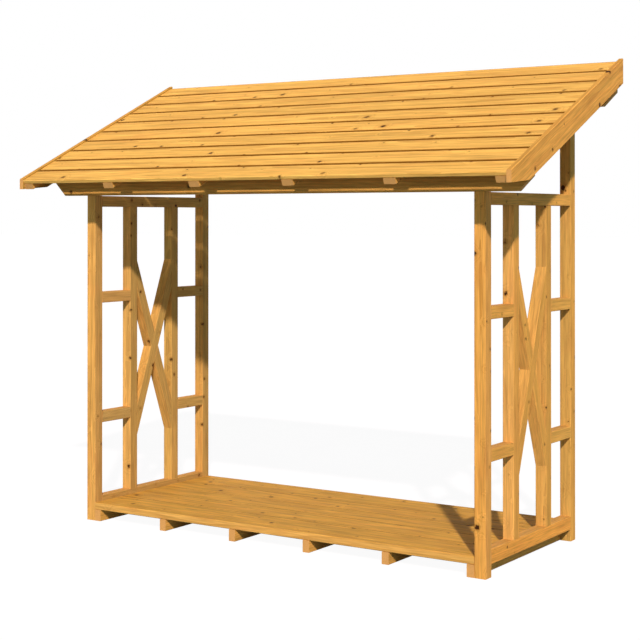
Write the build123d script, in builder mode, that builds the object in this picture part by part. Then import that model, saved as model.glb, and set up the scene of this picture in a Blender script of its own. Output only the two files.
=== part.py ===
from build123d import *
import os
from math import atan2, cos, radians, sin, tan

# Log store: two braced side frames stand either side of a boarded deck, and carry
# one boarded roof that slopes down to the front. The front faces -Y and left is -X.

# Long edges are eased, as on all planed timber
arris = 1.5
board_arris = 2.0

# Side frames, all of one square timber
timber = 38.0
frame_width = 1566.0  # over the outer faces of the two side frames
frame_depth = 648.0
front_height = 1140.0  # top of the front posts
end_bay = 150.0  # clear width between a post and its stud
bottom_rail_lift = 38.0
bottom_rail_depth = 44.0
top_rail_drop = 1.0  # from the front posts' tops
lower_rail_height = 340.0  # undersides
upper_rail_height = 762.0
brace_foot = 327.0  # centre line where a brace meets a stud
brace_head = 852.0

# Deck
bearer_count = 6
bearer_width = 25.0
bearer_height = 39.0
deck_board_count = 5
deck_board_thickness = 24.0
deck_joint = 1.0
deck_edge_width = 28.0  # narrow boards along the front and the rear

# Roof
roof_pitch = 25.0  # degrees
front_overhang = 165.0  # past the frame's faces
rear_overhang = 8.0
side_overhang = 165.0
front_beam_height = 92.0  # at the beams' front faces
rear_beam_height = 99.0
beam_thickness = 22.0
beam_end_cut = 44.0
rafter_count = 6
rafter_width = 42.0
end_rafter_width = 38.0
rafter_depth = 20.0
roof_board_count = 10
roof_board_gap = 8.0
roof_board_thickness = 13.0
roof_board_setback = 6.0  # from the bargeboards' rear ends
bargeboard_thickness = 16.0
bargeboard_depth = 75.0
bargeboard_rise = 5.5  # above the boards
bargeboard_nose = 36.0  # height of the plumb front end
bargeboard_cut = 121.0  # run of the cut below it

# Places along Y
front_face = (front_overhang - rear_overhang - frame_depth) / 2
rear_face = front_face + frame_depth
roof_front = front_face - front_overhang
roof_rear = rear_face + rear_overhang
front_stud_y = front_face + timber + end_bay
rear_stud_y = rear_face - timber - end_bay - timber
rear_post_y = rear_face - timber
brace_front = front_stud_y + timber
brace_rear = rear_stud_y

# Places along X
inner_half = frame_width / 2 - timber
roof_half = frame_width / 2 + side_overhang - bargeboard_thickness

# The roof's planes: the rafters' undersides bear on both beams
pitch = radians(roof_pitch)
seat_height = front_height + front_beam_height
bargeboard_top_rise = (rafter_depth + roof_board_thickness + bargeboard_rise) / cos(pitch)
bargeboard_drop = bargeboard_depth / cos(pitch)


def seat_z(y):
    return seat_height + (y - front_face) * tan(pitch)


def bargeboard_z(y):
    return seat_z(y) + bargeboard_top_rise


rear_height = seat_z(rear_face - beam_thickness) - rear_beam_height
roof_plane = Plane(
    origin=(0, front_face, seat_height),
    x_dir=(1, 0, 0),
    z_dir=(0, -sin(pitch), cos(pitch)),
)

os.makedirs("parts", exist_ok=True)


def ease(piece, along, length=arris):
    chamfer(piece.edges().filter_by(along), length=length)


def save(piece, node):
    piece.part.label = node
    export_step(piece.part, f"parts/{node}.step")


# Side frames
def member(node, plane, y_min, z_min, y_size, z_size):
    with BuildPart() as framing:
        with BuildSketch(plane):
            with Locations((y_min, z_min)):
                Rectangle(y_size, z_size, align=(Align.MIN, Align.MIN))
        extrude(amount=timber)
        ease(framing, Axis.Z if z_size > y_size else Axis.Y)
    save(framing, node)


def arm(front_z, rear_z):
    slant = atan2(abs(rear_z - front_z), brace_rear - brace_front)
    half = timber / 2 / cos(slant)
    with BuildLine(mode=Mode.PRIVATE) as outline:
        Polyline(
            (brace_front, front_z - half),
            (brace_rear, rear_z - half),
            (brace_rear, rear_z + half),
            (brace_front, front_z + half),
            close=True,
        )
    return outline.edges()


brace_run = brace_rear - brace_front
rising = Axis((0, brace_front, brace_foot), (0, brace_run, brace_head - brace_foot))
falling = Axis((0, brace_front, brace_head), (0, brace_run, brace_foot - brace_head))


rail_top = front_height - top_rail_drop
rail_bottom = rail_top - timber
stud_foot = bottom_rail_lift + bottom_rail_depth
post_bay = frame_depth - 2 * timber
first_bay = front_face + timber
last_bay = rear_stud_y + timber

for side, side_x in (("left", -frame_width / 2), ("right", inner_half)):
    plane = Plane.YZ.offset(side_x)
    member(f"{side}_front_post", plane, front_face, 0, timber, front_height)
    member(f"{side}_rear_post", plane, rear_post_y, 0, timber, rear_height)
    member(f"{side}_front_stud", plane, front_stud_y, stud_foot, timber, rail_bottom - stud_foot)
    member(f"{side}_rear_stud", plane, rear_stud_y, stud_foot, timber, rail_bottom - stud_foot)
    member(f"{side}_bottom_rail", plane, first_bay, bottom_rail_lift, post_bay, bottom_rail_depth)
    member(f"{side}_top_rail", plane, first_bay, rail_bottom, post_bay, timber)
    for level, height in (("lower", lower_rail_height), ("upper", upper_rail_height)):
        member(f"{side}_{level}_front_rail", plane, first_bay, height, end_bay, timber)
        member(f"{side}_{level}_rear_rail", plane, last_bay, height, end_bay, timber)

    # The braces cross in one plane: one arm is whole and the other is cut to fit round it
    with BuildPart() as brace_long:
        with BuildSketch(plane):
            make_face(arm(brace_foot, brace_head))
        extrude(amount=timber)
        ease(brace_long, rising)
    save(brace_long, f"{side}_brace_long")

    with BuildPart() as brace_halves:
        with BuildSketch(plane):
            make_face(arm(brace_head, brace_foot))
            make_face(arm(brace_foot, brace_head), mode=Mode.SUBTRACT)
        extrude(amount=timber)
        ease(brace_halves, falling)
    save(brace_halves, f"{side}_brace_halves")

# Deck: bearers from front to rear, boards from side to side
bearer_step = (2 * inner_half - bearer_width) / (bearer_count - 1)
for index in range(bearer_count):
    bearer_x = -inner_half + index * bearer_step
    with BuildPart() as bearer:
        with BuildSketch(Plane.XY):
            with Locations((bearer_x, front_face)):
                Rectangle(bearer_width, frame_depth, align=(Align.MIN, Align.MIN))
        extrude(amount=bearer_height)
        ease(bearer, Axis.Y)
    save(bearer, f"bearer_{index + 1}")


def deck_rows(node, rows, width):
    with BuildPart() as boards:
        with BuildSketch(Plane.XY.offset(bearer_height)):
            with Locations(*[(0, row) for row in rows]):
                Rectangle(2 * inner_half, width, align=(Align.CENTER, Align.MIN))
        extrude(amount=deck_board_thickness)
        ease(boards, Axis.X, board_arris)
    save(boards, node)


first_row = front_face + deck_edge_width + deck_joint
deck_step = (frame_depth - 2 * deck_edge_width - deck_joint) / deck_board_count
deck_starts = [first_row + index * deck_step for index in range(deck_board_count)]
deck_rows("deck_boards", deck_starts, deck_step - deck_joint)
deck_rows("deck_edges", (front_face, rear_face - deck_edge_width), deck_edge_width)


# Beams on the posts' tops, bevelled to the rafters
def beam(node, y_min, z_min):
    y_max = y_min + beam_thickness
    with BuildPart() as plate:
        with BuildSketch(Plane.YZ):
            with BuildLine():
                Polyline(
                    (y_min, z_min),
                    (y_max, z_min),
                    (y_max, seat_z(y_max)),
                    (y_min, seat_z(y_min)),
                    close=True,
                )
            make_face()
        extrude(amount=roof_half, both=True)
        ease(plate, Axis.X)
        chamfer(plate.edges().filter_by(Axis.Y).group_by(Axis.Z)[0], length=beam_end_cut)
    save(plate, node)


beam("front_beam", front_face, front_height)
beam("rear_beam", rear_face - beam_thickness, rear_height)

# Rafters and boards, square to the slope, between the bargeboards. At the rear the
# rafters stop short, so that nothing stands out under the last board
roof_thickness = rafter_depth + roof_board_thickness
roof_start = roof_thickness * tan(pitch) - front_overhang / cos(pitch)
roof_length = (roof_rear - roof_board_setback - roof_front) / cos(pitch)
rafter_length = roof_length - roof_thickness * tan(pitch)
end_rafter_x = roof_half - end_rafter_width / 2
upslope = Axis(roof_plane.origin, roof_plane.y_dir)
rafter_step = 2 * end_rafter_x / (rafter_count - 1)
for index in range(rafter_count):
    width = end_rafter_width if index in (0, rafter_count - 1) else rafter_width
    with BuildPart() as rafter:
        with BuildSketch(roof_plane):
            with Locations((index * rafter_step - end_rafter_x, roof_start)):
                Rectangle(width, rafter_length, align=(Align.CENTER, Align.MIN))
        extrude(amount=rafter_depth)
        ease(rafter, upslope)
    save(rafter, f"rafter_{index + 1}")

board_step = (roof_length + roof_board_gap) / roof_board_count
board_rows = [(0, roof_start + index * board_step) for index in range(roof_board_count)]
with BuildPart() as roof_boards:
    with BuildSketch(roof_plane.offset(rafter_depth)):
        with Locations(*board_rows):
            Rectangle(2 * roof_half, board_step - roof_board_gap, align=(Align.CENTER, Align.MIN))
    extrude(amount=roof_board_thickness)
    ease(roof_boards, Axis.X, board_arris)
save(roof_boards, "roof_boards")

# Bargeboards close the roof's ends, with plumb cuts and a shaped front end
cut_end = roof_front + bargeboard_cut
for side, board_x in (("left", -roof_half - bargeboard_thickness), ("right", roof_half)):
    with BuildPart() as bargeboard:
        with BuildSketch(Plane.YZ.offset(board_x)):
            with BuildLine():
                Polyline(
                    (roof_front, bargeboard_z(roof_front)),
                    (roof_front, bargeboard_z(roof_front) - bargeboard_nose),
                    (cut_end, bargeboard_z(cut_end) - bargeboard_drop),
                    (roof_rear, bargeboard_z(roof_rear) - bargeboard_drop),
                    (roof_rear, bargeboard_z(roof_rear)),
                    close=True,
                )
            make_face()
        extrude(amount=bargeboard_thickness)
        ease(bargeboard, upslope)
    save(bargeboard, f"{side}_bargeboard")
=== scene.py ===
import math

import bmesh
import bpy
from mathutils import Matrix, Vector


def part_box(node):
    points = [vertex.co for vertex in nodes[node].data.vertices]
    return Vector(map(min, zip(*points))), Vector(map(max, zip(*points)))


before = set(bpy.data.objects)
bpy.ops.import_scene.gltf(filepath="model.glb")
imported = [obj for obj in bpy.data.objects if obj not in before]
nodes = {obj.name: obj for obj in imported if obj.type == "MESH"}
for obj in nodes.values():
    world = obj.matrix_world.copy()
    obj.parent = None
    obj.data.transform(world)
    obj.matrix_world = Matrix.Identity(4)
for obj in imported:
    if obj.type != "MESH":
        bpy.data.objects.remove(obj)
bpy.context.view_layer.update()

# Camera about 5 m off, in front and to the right, and nearly level so that uprights stay
# straight
cameraSetup = {
    "place": (2.7559, -4.1144, 1.0660),  # metres
    "yaw": 33.447,  # degrees, like the pitch
    "pitch": 0.259,
    "lens": 82.63,  # millimetres, like the sensor
    "sensor": 36,
    "shiftY": -0.1719,  # sets the store high in the picture
}

cameraData = bpy.data.cameras.new("storeCamera")
cameraData.lens = cameraSetup["lens"]
cameraData.sensor_width = cameraSetup["sensor"]
cameraData.shift_y = cameraSetup["shiftY"]
camera = bpy.data.objects.new("storeCamera", cameraData)
camera.location = cameraSetup["place"]
camera.rotation_euler = (
    math.radians(90 + cameraSetup["pitch"]), 0, math.radians(cameraSetup["yaw"])
)
bpy.context.scene.collection.objects.link(camera)
bpy.context.scene.camera = camera
bpy.context.scene.view_settings.view_transform = "Standard"
print("camera set")


# An sRGB hex colour as linear light
def linearColor(hexCode):
    channels = [int(hexCode[start:start + 2], 16) / 255 for start in (1, 3, 5)]
    curved = [c / 12.92 if c <= 0.04045 else ((c + 0.055) / 1.055) ** 2.4 for c in channels]
    return (*curved, 1.0)


# A node with its settings, and with a value or a link for each input that is given
def addNode(tree, kind, inputs=None, **settings):
    node = tree.nodes.new(kind)
    for name, value in settings.items():
        setattr(node, name, value)
    for socket, value in (inputs or {}).items():
        if isinstance(value, bpy.types.NodeSocket):
            tree.links.new(value, node.inputs[socket])
        else:
            node.inputs[socket].default_value = value
    return node


# Inputs that map one range of values onto another
def rangeInputs(source, fromPair, toPair):
    return {0: source, 1: fromPair[0], 2: fromPair[1], 3: toPair[0], 4: toPair[1]}


# Planed softwood under a clear golden preservative: pale yellow early wood, orange late
# wood in bands, dark knots that the bands bend round, and darker sawn ends. Lengths are
# in metres, a pair is the two ends of a range, a share goes from 0 to 1, and a stretch is
# how often a pattern repeats in a metre along the grain, across it and through it.
treatedPine = {
    "earlyWood": "#F0AB52",
    "lateWood": "#BE782A",
    "warmTone": "#E19245",
    "sapTone": "#DDB478",
    "endGrain": "#DC9959",
    "lateShare": 0.52,  # how far a band goes towards the late wood's colour
    "lotLength": 37.0,  # how much wood the lots are cut from
    "cloudStretch": (1.6, 7, 7),  # broad clouds of the warm tone
    "cloudShare": (0.0, 0.45),  # from lot to lot
    "blushStretch": (9, 34, 34),  # and small blushes of it
    "blushSpan": (0.52, 0.74),  # where the noise turns into a blush
    "blushShare": 0.42,
    "streakRun": 2.4,  # streaks to a metre along the grain
    "streakRows": 55,  # and across it, 18 mm apart
    "streakDetail": 3.0,
    "streakTone": (-0.18, 0.12),  # how far a streak of depth 1 goes from the wood's tone
    "fibreStretch": (12, 260, 260),  # 4 mm apart, coarser than real so that it shows
    "fibreTone": (0.8, 1.14),
    "noiseSpan": (0.3, 0.7),  # where most of a noise lies
    "boardTone": (0.95, 1.05),
    "faceSpan": (0.6, 0.8),  # cosines between which a face comes to count as outer or inner
    "edgeSpan": (0.45, 0.75),  # the same for a board's lower edge
    "endSpan": (0.35, 0.75),  # and for a sawn end
    "endShare": 0.75,
    "ringRelief": 0.6,  # height of the rings, where the fibre's is 1
    "bumpStrength": 0.35,
    "bumpDepth": 0.0004,
    "roughness": 0.66,
    "glossSpread": 0.06,
    "ior": 1.48,
    "specular": 0.07,  # duller than a varnish
}

# Real rings are 2 to 4 mm apart, and are drawn at 7.5 mm so that they show
growthRings = {
    "gap": 0.0075,
    "curve": 2.2,  # above 1, late wood comes in slowly and ends at once
    "heartFrom": (0, -0.03, 0.012),  # the heart's offset at the least
    "heartSpread": (0, 0.06, 0.03),  # what the lot adds at the most
    "wanderStretch": (0.9, 0, 0),
    "wanderDetail": 1.5,
    "wanderFrom": (0, -0.035, 0),  # its drift at the least
    "wanderSpread": (0, 0.07, 0.05),  # and what the noise adds
    "waveStretch": (4, 22, 22),
    "waveDepth": 0.006,  # how far the waves push a ring
}

# Edges are in shares of a knot's radius
knotPattern = {
    "heart": "#3E200A",
    "rim": "#965E24",
    "small": 0.0055,  # radius of the smallest
    "spread": 0.0075,  # what the largest have more
    "sizeCurve": 2.0,  # above 1, small knots are more than large ones
    "chance": 0.85,  # share of the rooms that hold a knot
    "scatter": 0.85,  # share of its room that it may lie in
    "lumps": 150.0,  # to a metre
    "lumpDetail": 1.0,
    "lumpDepth": 0.009,  # how far they push its edge in
    "none": 0.0001,  # radius that doesn't show
    "heartEdge": (0.85, 1.15),
    "heartSpan": (0.1, 0.6),  # of the cell's lot
    "heartShare": (0.6, 1.0),  # from the palest heart to the darkest
    "rimEdge": (0.9, 1.8),
    "rimShare": 0.55,
    "bendEdge": (0.6, 3.8),
    "bendDepth": 0.016,  # how far the rings give way
}


# Noise that is drawn out along the grain; more detail makes it rougher
def grainNoise(tree, point, stretch, detail=2.0):
    stretched = addNode(tree, "ShaderNodeVectorMath", {0: point, 1: stretch}, operation="MULTIPLY")
    return addNode(tree, "ShaderNodeTexNoise", {
        "Vector": stretched.outputs[0], "Scale": 1.0, "Detail": detail,
    })


# Places along the grain, across it and through it, with a stretch of wood of its own for
# each piece, and for each board of a row
def woodSpot(tree, plan):
    grain, side = plan["grain"], plan["side"]
    turned = Matrix((grain, side, grain.cross(side))).transposed().to_euler()
    coords = addNode(tree, "ShaderNodeTexCoord")
    local = addNode(tree, "ShaderNodeMapping", {
        "Vector": coords.outputs["Object"], "Location": plan["origin"], "Rotation": turned,
    }, vector_type="TEXTURE")
    axes = addNode(tree, "ShaderNodeSeparateXYZ", {0: local.outputs[0]})
    along, across, through = axes.outputs
    lot = addNode(tree, "ShaderNodeTexWhiteNoise", {"W": plan["seed"]}, noise_dimensions="1D")
    row = None
    step = plan.get("rowStep")
    if step:
        share = addNode(tree, "ShaderNodeMath", {0: across, 1: step}, operation="DIVIDE")
        row = addNode(tree, "ShaderNodeMath", {0: share.outputs[0]}, operation="FLOOR").outputs[0]
        middle = addNode(tree, "ShaderNodeMath", {
            0: row, 1: step, 2: step / 2,
        }, operation="MULTIPLY_ADD")
        inRow = addNode(tree, "ShaderNodeMath", {
            0: across, 1: middle.outputs[0],
        }, operation="SUBTRACT")
        across = inRow.outputs[0]
        rowSeed = addNode(tree, "ShaderNodeMath", {0: row, 1: plan["seed"]}, operation="ADD")
        tree.links.new(rowSeed.outputs[0], lot.inputs["W"])
    lots = addNode(tree, "ShaderNodeSeparateColor", {0: lot.outputs["Color"]})
    shifted = addNode(tree, "ShaderNodeMath", {
        0: lots.outputs["Red"], 1: treatedPine["lotLength"], 2: along,
    }, operation="MULTIPLY_ADD")
    point = addNode(tree, "ShaderNodeCombineXYZ", {0: shifted.outputs[0], 1: across, 2: through})
    return {
        "normal": coords.outputs["Normal"], "across": across, "through": through, "row": row,
        "point": point.outputs[0], "lot": lot.outputs["Color"], "lots": lots.outputs,
    }


# Hearts and rims of the knots, and how far the rings bend round them. Each room may hold
# one, and in a room with no depth it runs right through the board.
def knotMasks(tree, point, room):
    repeats = [1 / length if length else 0 for length in room]
    cells = addNode(tree, "ShaderNodeVectorMath", {0: point, 1: repeats}, operation="MULTIPLY")
    knots = addNode(tree, "ShaderNodeTexVoronoi", {
        "Vector": cells.outputs[0], "Scale": 1.0, "Randomness": knotPattern["scatter"],
    }, voronoi_dimensions="3D" if room[2] else "2D")
    away = addNode(tree, "ShaderNodeVectorMath", {
        0: cells.outputs[0], 1: knots.outputs["Position"],
    }, operation="SUBTRACT")
    reach = addNode(tree, "ShaderNodeVectorMath", {0: away.outputs[0], 1: room}, operation="MULTIPLY")
    span = addNode(tree, "ShaderNodeVectorMath", {0: reach.outputs[0]}, operation="LENGTH")
    lumps = addNode(tree, "ShaderNodeTexNoise", {
        "Vector": point, "Scale": knotPattern["lumps"], "Detail": knotPattern["lumpDetail"],
    })
    uneven = addNode(tree, "ShaderNodeMath", {
        0: lumps.outputs[0], 1: knotPattern["lumpDepth"], 2: span.outputs["Value"],
    }, operation="MULTIPLY_ADD")

    chance = addNode(tree, "ShaderNodeSeparateColor", {0: knots.outputs["Color"]}).outputs
    grade = addNode(tree, "ShaderNodeMath", {
        0: chance["Green"], 1: knotPattern["sizeCurve"],
    }, operation="POWER")
    size = addNode(tree, "ShaderNodeMath", {
        0: grade.outputs[0], 1: knotPattern["spread"], 2: knotPattern["small"],
    }, operation="MULTIPLY_ADD")
    chosen = addNode(tree, "ShaderNodeMath", {
        0: chance["Red"], 1: knotPattern["chance"],
    }, operation="LESS_THAN")
    kept = addNode(tree, "ShaderNodeMath", {
        0: size.outputs[0], 1: chosen.outputs[0],
    }, operation="MULTIPLY")
    radius = addNode(tree, "ShaderNodeMath", {
        0: kept.outputs[0], 1: knotPattern["none"],
    }, operation="MAXIMUM")
    share = addNode(tree, "ShaderNodeMath", {
        0: uneven.outputs[0], 1: radius.outputs[0],
    }, operation="DIVIDE").outputs[0]

    heart = addNode(tree, "ShaderNodeMapRange", rangeInputs(
        share, knotPattern["heartEdge"], (1.0, 0.0),
    ), interpolation_type="SMOOTHSTEP")
    darkness = addNode(tree, "ShaderNodeMapRange", rangeInputs(
        chance["Blue"], knotPattern["heartSpan"], knotPattern["heartShare"],
    ))
    darkened = addNode(tree, "ShaderNodeMath", {
        0: heart.outputs[0], 1: darkness.outputs[0],
    }, operation="MULTIPLY")
    rim = addNode(tree, "ShaderNodeMapRange", rangeInputs(
        share, knotPattern["rimEdge"], (1.0, 0.0),
    ), interpolation_type="SMOOTHSTEP")
    bend = addNode(tree, "ShaderNodeMapRange", rangeInputs(
        share, knotPattern["bendEdge"], (knotPattern["bendDepth"], 0.0),
    ), interpolation_type="SMOOTHERSTEP")
    return darkened.outputs[0], rim.outputs[0], bend.outputs[0]


# Rings round a heart that lies mostly outside the section and wanders along the grain
def ringBands(tree, spot, bend):
    drift = grainNoise(
        tree, spot["point"], growthRings["wanderStretch"], growthRings["wanderDetail"]
    )
    wander = addNode(tree, "ShaderNodeVectorMath", {
        0: drift.outputs["Color"], 1: growthRings["wanderSpread"], 2: growthRings["wanderFrom"],
    }, operation="MULTIPLY_ADD")
    heart = addNode(tree, "ShaderNodeVectorMath", {
        0: spot["lot"], 1: growthRings["heartSpread"], 2: growthRings["heartFrom"],
    }, operation="MULTIPLY_ADD")
    centre = addNode(tree, "ShaderNodeVectorMath", {
        0: heart.outputs[0], 1: wander.outputs[0],
    }, operation="ADD")
    section = addNode(tree, "ShaderNodeCombineXYZ", {1: spot["across"], 2: spot["through"]})
    fromHeart = addNode(tree, "ShaderNodeVectorMath", {
        0: section.outputs[0], 1: centre.outputs[0],
    }, operation="ADD")
    flat = addNode(tree, "ShaderNodeVectorMath", {
        0: fromHeart.outputs[0], 1: (0, 1, 1),
    }, operation="MULTIPLY")
    radius = addNode(tree, "ShaderNodeVectorMath", {0: flat.outputs[0]}, operation="LENGTH")
    waves = grainNoise(tree, spot["point"], growthRings["waveStretch"])
    wavy = addNode(tree, "ShaderNodeMath", {
        0: waves.outputs[0], 1: growthRings["waveDepth"], 2: radius.outputs["Value"],
    }, operation="MULTIPLY_ADD")
    bent = addNode(tree, "ShaderNodeMath", {0: wavy.outputs[0], 1: bend}, operation="ADD")
    count = addNode(tree, "ShaderNodeMath", {
        0: bent.outputs[0], 1: growthRings["gap"],
    }, operation="DIVIDE")
    part = addNode(tree, "ShaderNodeMath", {0: count.outputs[0]}, operation="FRACT")
    bands = addNode(tree, "ShaderNodeMath", {
        0: part.outputs[0], 1: growthRings["curve"],
    }, operation="POWER")
    return bands.outputs[0]


# The clear wood's colour: ring bands, warmer clouds and blushes, and a share of sapwood
def clearWood(tree, spot, bands, sapShare):
    bandShare = addNode(tree, "ShaderNodeMath", {
        0: bands, 1: treatedPine["lateShare"],
    }, operation="MULTIPLY")
    banded = addNode(tree, "ShaderNodeMix", {
        0: bandShare.outputs[0],
        6: linearColor(treatedPine["earlyWood"]), 7: linearColor(treatedPine["lateWood"]),
    }, data_type="RGBA")
    clouds = grainNoise(tree, spot["point"], treatedPine["cloudStretch"])
    cloudShare = addNode(tree, "ShaderNodeMapRange", rangeInputs(
        spot["lots"]["Green"], (0.0, 1.0), treatedPine["cloudShare"],
    ))
    blushes = grainNoise(tree, spot["point"], treatedPine["blushStretch"])
    blushShare = addNode(tree, "ShaderNodeMapRange", rangeInputs(
        blushes.outputs[0], treatedPine["blushSpan"], (0.0, treatedPine["blushShare"]),
    ))
    warmth = addNode(tree, "ShaderNodeMath", {
        0: clouds.outputs[0], 1: cloudShare.outputs[0], 2: blushShare.outputs[0],
    }, operation="MULTIPLY_ADD")
    warmed = addNode(tree, "ShaderNodeMix", {
        0: warmth.outputs[0], 6: banded.outputs[2], 7: linearColor(treatedPine["warmTone"]),
    }, data_type="RGBA")
    sappy = addNode(tree, "ShaderNodeMix", {
        0: sapShare, 6: warmed.outputs[2], 7: linearColor(treatedPine["sapTone"]),
    }, data_type="RGBA")
    return sappy.outputs[2]


# How much lighter or darker the streaks, the fibre and the lot make the wood
def grainTone(tree, spot, fibre, finish):
    run = finish.get("streakRun", treatedPine["streakRun"])
    rows = treatedPine["streakRows"]
    streaks = grainNoise(
        tree, spot["point"], (run, rows, rows), treatedPine["streakDetail"]
    )
    depth = finish.get("streakDepth", 1.0)
    streakPair = [1 + depth * change for change in treatedPine["streakTone"]]
    streakTone = addNode(tree, "ShaderNodeMapRange", rangeInputs(
        streaks.outputs[0], treatedPine["noiseSpan"], streakPair,
    ))
    fibreTone = addNode(tree, "ShaderNodeMapRange", rangeInputs(
        fibre, treatedPine["noiseSpan"], treatedPine["fibreTone"],
    ))
    boardTone = addNode(tree, "ShaderNodeMapRange", rangeInputs(
        spot["lots"]["Blue"], (0.0, 1.0), treatedPine["boardTone"],
    ))
    tone = addNode(tree, "ShaderNodeMath", {
        0: streakTone.outputs[0], 1: fibreTone.outputs[0],
    }, operation="MULTIPLY")
    tone = addNode(tree, "ShaderNodeMath", {
        0: tone.outputs[0], 1: boardTone.outputs[0],
    }, operation="MULTIPLY")
    return tone.outputs[0]


# A piece has one tint, and may have others on its outer face and its inner one, which look
# along its outward direction and against it; these others are painted light and shade, which
# make those faces lighter, darker or bluer. A plan that names none has its side for it
def facedTint(tree, spot, plan, finish):
    facing = addNode(tree, "ShaderNodeVectorMath", {
        0: spot["normal"], 1: plan.get("outward", plan["side"]),
    }, operation="DOT_PRODUCT")
    start, full = treatedPine["faceSpan"]
    outer = addNode(tree, "ShaderNodeMapRange", rangeInputs(
        facing.outputs["Value"], (start, full), (0.0, 1.0),
    ))
    inner = addNode(tree, "ShaderNodeMapRange", rangeInputs(
        facing.outputs["Value"], (-start, -full), (0.0, 1.0),
    ))
    tint = finish["tint"]
    tinted = addNode(tree, "ShaderNodeMix", {
        0: outer.outputs[0], 6: (*tint, 1.0), 7: (*finish.get("outerLightShadeTint", tint), 1.0),
    }, data_type="RGBA")
    tinted = addNode(tree, "ShaderNodeMix", {
        0: inner.outputs[0], 6: tinted.outputs[2], 7: (*finish.get("innerLightShadeTint", tint), 1.0),
    }, data_type="RGBA")
    return tinted.outputs[2]


# Painted shade in a row's joints, dark where the gap's shade falls: on the lower edge of every
# board but the first, which is row 0, and where the plan has a rim, in a band along each
# board's upper edge
def jointShadeShare(tree, spot, plan, finish):
    facing = addNode(tree, "ShaderNodeVectorMath", {
        0: spot["normal"], 1: -plan["side"],
    }, operation="DOT_PRODUCT")
    edge = addNode(tree, "ShaderNodeMapRange", rangeInputs(
        facing.outputs["Value"], treatedPine["edgeSpan"], (0.0, 1.0),
    ))
    later = addNode(tree, "ShaderNodeMath", {0: spot["row"], 1: 0.5}, operation="GREATER_THAN")
    shadedJoint = addNode(tree, "ShaderNodeMath", {
        0: edge.outputs[0], 1: later.outputs[0],
    }, operation="MULTIPLY")
    if "rimShadeBand" in plan:
        rim = addNode(tree, "ShaderNodeMapRange", rangeInputs(
            spot["across"], plan["rimShadeBand"], (0.0, finish["rimShare"]),
        ))
        shadedJoint = addNode(tree, "ShaderNodeMath", {
            0: shadedJoint.outputs[0], 1: rim.outputs[0],
        }, operation="MAXIMUM")
    return shadedJoint.outputs[0]


# One piece's wood, from its plan and its finish
def timberMaterial(name, plan, finish):
    material = bpy.data.materials.new(name)
    material.use_nodes = True
    tree = material.node_tree
    tree.nodes.clear()
    spot = woodSpot(tree, plan)
    knotHeart, knotRim, bend = knotMasks(tree, spot["point"], finish["knotRoom"])
    bands = ringBands(tree, spot, bend)
    fibre = grainNoise(tree, spot["point"], treatedPine["fibreStretch"]).outputs[0]

    # Colour, from the clear wood and its tints up to the knots, the sawn ends and the painted shade in
    # the joints
    clear = clearWood(tree, spot, bands, finish.get("sapShare", 0.0))
    tone = grainTone(tree, spot, fibre, finish)
    toned = addNode(tree, "ShaderNodeVectorMath", {0: clear, "Scale": tone}, operation="SCALE")
    tinted = addNode(tree, "ShaderNodeVectorMath", {
        0: toned.outputs[0], 1: facedTint(tree, spot, plan, finish),
    }, operation="MULTIPLY")
    rimShare = addNode(tree, "ShaderNodeMath", {
        0: knotRim, 1: knotPattern["rimShare"],
    }, operation="MULTIPLY")
    rimmed = addNode(tree, "ShaderNodeMix", {
        0: rimShare.outputs[0], 6: tinted.outputs[0], 7: linearColor(knotPattern["rim"]),
    }, data_type="RGBA")
    knotted = addNode(tree, "ShaderNodeMix", {
        0: knotHeart, 6: rimmed.outputs[2], 7: linearColor(knotPattern["heart"]),
    }, data_type="RGBA")
    facing = addNode(tree, "ShaderNodeVectorMath", {
        0: spot["normal"], 1: plan["grain"],
    }, operation="DOT_PRODUCT")
    endFacing = addNode(tree, "ShaderNodeMath", {0: facing.outputs["Value"]}, operation="ABSOLUTE")
    sawnEnd = addNode(tree, "ShaderNodeMapRange", rangeInputs(
        endFacing.outputs[0], treatedPine["endSpan"], (0.0, treatedPine["endShare"]),
    ))
    color = addNode(tree, "ShaderNodeMix", {
        0: sawnEnd.outputs[0], 6: knotted.outputs[2], 7: linearColor(treatedPine["endGrain"]),
    }, data_type="RGBA").outputs[2]
    # Painted shade in the joints
    if "jointShadeTone" in finish:
        color = addNode(tree, "ShaderNodeMix", {
            0: jointShadeShare(tree, spot, plan, finish), 6: color, 7: linearColor(finish["jointShadeTone"]),
        }, data_type="RGBA").outputs[2]

    # Late wood stands a little proud and is smoother
    ridge = addNode(tree, "ShaderNodeMath", {
        0: bands, 1: treatedPine["ringRelief"], 2: fibre,
    }, operation="MULTIPLY_ADD")
    relief = addNode(tree, "ShaderNodeBump", {
        "Strength": treatedPine["bumpStrength"], "Distance": treatedPine["bumpDepth"],
        "Height": ridge.outputs[0],
    })
    rough, spread = treatedPine["roughness"], treatedPine["glossSpread"]
    gloss = addNode(tree, "ShaderNodeMapRange", rangeInputs(
        bands, (0.0, 1.0), (rough + spread, rough - spread),
    ))
    shader = addNode(tree, "ShaderNodeBsdfPrincipled", {
        "Base Color": color, "Roughness": gloss.outputs[0], "Normal": relief.outputs[0],
        "IOR": treatedPine["ior"], "Specular IOR Level": treatedPine["specular"],
    })
    addNode(tree, "ShaderNodeOutputMaterial", {"Surface": shader.outputs[0]})
    return material


# The pieces, family by family. A plan says where a piece's wood starts, which way its
# grain and its side run, and how its boards lie in rows. A finish holds its tints, which
# multiply the wood's colour, and its knot room, the length, width and depth of wood that
# may hold one knot.
sideX, sideY, sideZ = Vector((1, 0, 0)), Vector((0, 1, 0)), Vector((0, 0, 1))
boardKnotRoom = (0.17, 0.075, 0)

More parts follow.
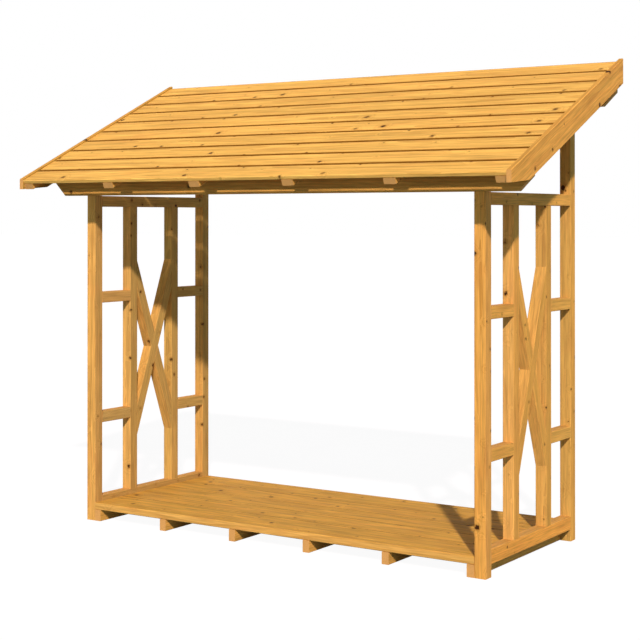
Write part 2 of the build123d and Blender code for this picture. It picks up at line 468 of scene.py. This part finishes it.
# Rows of boards up the roof's slope, with open gaps
roofBoards = {
    "slope": 25,  # degrees
    "count": 10,
    "gap": 0.008,
    # Painted shade in the open gaps: a dark rim along each board's upper edge, and the joint tone on
    # the lower edges
    "rimShadeDepth": 0.007,  # the painted shade of the rim starts this far inside the board's upper edge
    "rimShadeEase": 0.001,  # and is full this far inside it
    "rimShare": 0.75,
    "jointShadeTone": "#7C4503",
    "knotRoom": boardKnotRoom,
    "tint": (1.09, 1.21, 1.31),
}
slope = math.radians(roofBoards["slope"])
upslope = Vector((0, math.cos(slope), math.sin(slope)))


# Where a node begins and ends along a direction
def nodeSpan(node, direction):
    reach = [vertex.co.dot(direction) for vertex in nodes[node].data.vertices]
    return min(reach), max(reach)


def roofBoardPlan(node):
    low, high = nodeSpan(node, upslope)
    gap = roofBoards["gap"]
    step = (high - low + gap) / roofBoards["count"]
    normal = sideX.cross(upslope)
    rimEnd = (step - gap) / 2
    return {
        "origin": upslope * (low - gap / 2) + normal * nodeSpan(node, normal)[0],
        "grain": sideX, "side": upslope, "rowStep": step,
        "rimShadeBand": (rimEnd - roofBoards["rimShadeDepth"], rimEnd - roofBoards["rimShadeEase"]),
    }, roofBoards


# Close deck boards from side to side, and a narrow one along the front and the rear
deckBoards = {
    "count": 5,
    "joint": 0.001,
    # painted shade on the boards' lower edges in the joints
    "jointShadeTone": "#8E5E2A",
    "knotRoom": boardKnotRoom,
    "tint": (0.825, 0.89, 0.725),
    "streakRun": 6.0,
    "streakDepth": 1.35,
}
deckEdges = {
    "count": 2,  # one in each half of the deck's depth
    "joint": 0,
    "knotRoom": boardKnotRoom,
    "tint": deckBoards["tint"],
    "outerLightShadeTint": (0.98, 1.03, 1.15),  # painted light on the face towards the rear
    "innerLightShadeTint": (0.98, 1.03, 1.15),  # painted light on the face towards the front
}


def deckPlan(node):
    finish = deckEdges if node == "deck_edges" else deckBoards
    low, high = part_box(node)
    return {
        "origin": Vector((0, low.y, low.z)), "grain": sideX, "side": sideY,
        "rowStep": (high.y - low.y + finish["joint"]) / finish["count"],
    }, finish


# Beams lie from side to side, and bargeboards run up the slope at the roof's two ends
beams = {
    "knotRoom": (0.4, 0.1, 0),
    "tint": (0.93, 0.92, 0.93),
}
bargeboards = {
    "knotRoom": boardKnotRoom,
    "tint": (0.92, 0.92, 0.9),
    # painted light on the outer face and painted shade on the inner one
    "outerLightShadeTint": (1.11, 1.04, 0.99),
    "innerLightShadeTint": (0.66, 0.74, 0.62),
}
# Slim timber: posts, studs, rails, braces, bearers and rafters
frameTimber = {
    "knotRoom": (0.07, 0.045, 0.045),
    "tint": (0.86, 0.85, 0.78),
    # painted light and shade on the faces that look out of a side frame and into it
    "outerLightShadeTint": (1.01, 0.93, 0.72),
    "innerLightShadeTint": (0.69, 0.75, 0.76),
    "sapShare": 0.2,
}
# Timbers with tones of their own, some with painted light and shade of their own on their outer or
# inner faces
ownTones = {
    "right_front_post": {"tint": (1.02, 0.96, 0.93), "outerLightShadeTint": (0.99, 0.95, 1.06), "sapShare": 0.0},
    "left_front_post": {"tint": (0.96, 0.95, 1.07), "innerLightShadeTint": (0.7, 0.75, 0.98), "sapShare": 0.0},
    "right_front_stud": {"tint": (0.94, 0.93, 0.92), "outerLightShadeTint": (0.97, 0.87, 0.69)},
    "left_front_stud": {"tint": (1.0, 1.01, 0.98)},
    "right_rear_stud": {"outerLightShadeTint": (0.93, 0.86, 0.67)},
    "left_rear_stud": {"tint": (0.79, 0.85, 0.79)},
    "right_rear_post": {"tint": (0.78, 0.81, 0.74)},
    "right_upper_rear_rail": {"outerLightShadeTint": (1.09, 1.05, 0.83)},
    "right_lower_rear_rail": {"outerLightShadeTint": (1.05, 1.03, 0.83)},
    "right_bottom_rail": {"outerLightShadeTint": (1.12, 0.92, 0.64)},
    "left_upper_front_rail": {"innerLightShadeTint": (0.84, 0.85, 0.91)},
    "left_lower_front_rail": {"innerLightShadeTint": (0.77, 0.86, 0.98)},
    "left_bottom_rail": {"innerLightShadeTint": (0.62, 0.68, 0.69)},
}


def singlePlan(node):
    low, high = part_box(node)
    outward = -sideX if node.startswith("left") else sideX
    plan = {"origin": (low + high) / 2, "grain": sideY, "side": outward}
    if node.endswith("beam"):
        plan.update(grain=sideX, side=sideZ)
        return plan, beams
    if node.endswith("bargeboard"):
        plan.update(grain=upslope, side=upslope.cross(sideX), outward=outward)
        return plan, bargeboards
    if node.endswith(("post", "stud")):
        plan["grain"] = sideZ
    elif node.startswith("rafter"):
        plan["grain"] = upslope
    elif "brace" in node:
        rise = Vector((0, high.y - low.y, high.z - low.z)).normalized()
        if node.endswith("halves"):
            rise.y = -rise.y
        plan["grain"] = rise
    return plan, {**frameTimber, **ownTones.get(node, {})}


# Every piece has a seed of its own, which picks its lot
seeds = {"first": 3.0, "step": 1.37}

for number, node in enumerate(sorted(nodes)):
    if node == "roof_boards":
        plan, finish = roofBoardPlan(node)
    elif node.startswith("deck"):
        plan, finish = deckPlan(node)
    else:
        plan, finish = singlePlan(node)
    plan["seed"] = seeds["first"] + seeds["step"] * number
    mesh = nodes[node].data
    mesh.materials.clear()
    mesh.materials.append(timberMaterial("treatedPine_" + node, plan, finish))
print("timber finished:", len(nodes), "nodes")

# Studio: a white floor that keeps a soft shadow, in a clean white surround whose light is
# dim overhead and brightens towards the horizon
studio = {
    "floorReach": 60.0,  # metres each way
    "floorTone": "#708A92",  # only tints the light that it throws back
    "shadowTone": "#F6DEDF",  # takes the shadow, and turns neutral in the blue surround
    "shadowShare": 0.11,
    "glow": 1.06,  # strength of the white that makes up the rest
    "surroundTone": "#C1E3EE",
    "surroundHigh": 0.03,
    "surroundLow": 1.45,
    "surroundCurve": 3.0,  # above 1, the light keeps to the horizon
}
# A key lamp from the front right, a level fill from the rear left on the far sides, and a
# faint broad one from the front; angles are in degrees
lamps = {
    "key": {"travel": (-0.75, 1.0, -0.865), "strength": 3.8, "angle": 1.8, "shines": True},
    "fill": {"travel": (0.9, -1.0, -0.03), "strength": 2.5, "angle": 25.0, "shines": False},
    "front": {"travel": (0.0, 1.0, -0.12), "strength": 0.25, "angle": 50.0, "shines": False},
}


# 1 for what the camera sees, straight or by way of gloss or glass, and 0 for the light
def seenStraight(tree):
    path = addNode(tree, "ShaderNodeLightPath")
    direct = addNode(tree, "ShaderNodeMath", {
        0: path.outputs["Is Camera Ray"], 1: path.outputs["Is Glossy Ray"],
    }, operation="MAXIMUM")
    seen = addNode(tree, "ShaderNodeMath", {
        0: direct.outputs[0], 1: path.outputs["Is Transmission Ray"],
    }, operation="MAXIMUM")
    return seen.outputs[0]


floorMesh = bpy.data.meshes.new("studioFloor")
floorShape = bmesh.new()
bmesh.ops.create_grid(floorShape, x_segments=1, y_segments=1, size=studio["floorReach"])
floorShape.to_mesh(floorMesh)
floorShape.free()
floor = bpy.data.objects.new("studioFloor", floorMesh)
bpy.context.scene.collection.objects.link(floor)
floorMaterial = bpy.data.materials.new("whiteStudioFloor")
floorMaterial.use_nodes = True
floorTree = floorMaterial.node_tree
floorTree.nodes.clear()
matt = addNode(floorTree, "ShaderNodeBsdfDiffuse", {0: linearColor(studio["floorTone"])})
shade = addNode(floorTree, "ShaderNodeBsdfDiffuse", {0: linearColor(studio["shadowTone"])})
glow = addNode(floorTree, "ShaderNodeEmission", {0: (1, 1, 1, 1), 1: studio["glow"]})
seenFloor = addNode(floorTree, "ShaderNodeMixShader", {
    0: 1 - studio["shadowShare"], 1: shade.outputs[0], 2: glow.outputs[0],
})
floorShader = addNode(floorTree, "ShaderNodeMixShader", {
    0: seenStraight(floorTree), 1: matt.outputs[0], 2: seenFloor.outputs[0],
})
addNode(floorTree, "ShaderNodeOutputMaterial", {0: floorShader.outputs[0]})
floorMesh.materials.append(floorMaterial)

world = bpy.data.worlds.new("whiteSurround")
bpy.context.scene.world = world
world.use_nodes = True
worldTree = world.node_tree
worldTree.nodes.clear()
aim = addNode(worldTree, "ShaderNodeTexCoord")
aimAxes = addNode(worldTree, "ShaderNodeSeparateXYZ", {0: aim.outputs["Generated"]})
lowness = addNode(worldTree, "ShaderNodeMapRange", rangeInputs(
    aimAxes.outputs["Z"], (0.0, 1.0), (1.0, 0.0),
))
band = addNode(worldTree, "ShaderNodeMath", {
    0: lowness.outputs[0], 1: studio["surroundCurve"],
}, operation="POWER")
power = addNode(worldTree, "ShaderNodeMath", {
    0: band.outputs[0], 1: studio["surroundLow"] - studio["surroundHigh"], 2: studio["surroundHigh"],
}, operation="MULTIPLY_ADD")
soft = addNode(worldTree, "ShaderNodeBackground", {
    0: linearColor(studio["surroundTone"]), 1: power.outputs[0],
})
white = addNode(worldTree, "ShaderNodeBackground", {0: (1, 1, 1, 1), 1: 1.0})
surround = addNode(worldTree, "ShaderNodeMixShader", {
    0: seenStraight(worldTree), 1: soft.outputs[0], 2: white.outputs[0],
})
addNode(worldTree, "ShaderNodeOutputWorld", {0: surround.outputs[0]})

for lampName, setup in lamps.items():
    lampData = bpy.data.lights.new(lampName + "Lamp", "SUN")
    lampData.energy = setup["strength"]
    lampData.angle = math.radians(setup["angle"])
    lamp = bpy.data.objects.new(lampName + "Lamp", lampData)
    lamp.rotation_euler = Vector(setup["travel"]).to_track_quat("-Z", "Y").to_euler()
    lamp.visible_glossy = setup["shines"]
    bpy.context.scene.collection.objects.link(lamp)
print("studio lit")
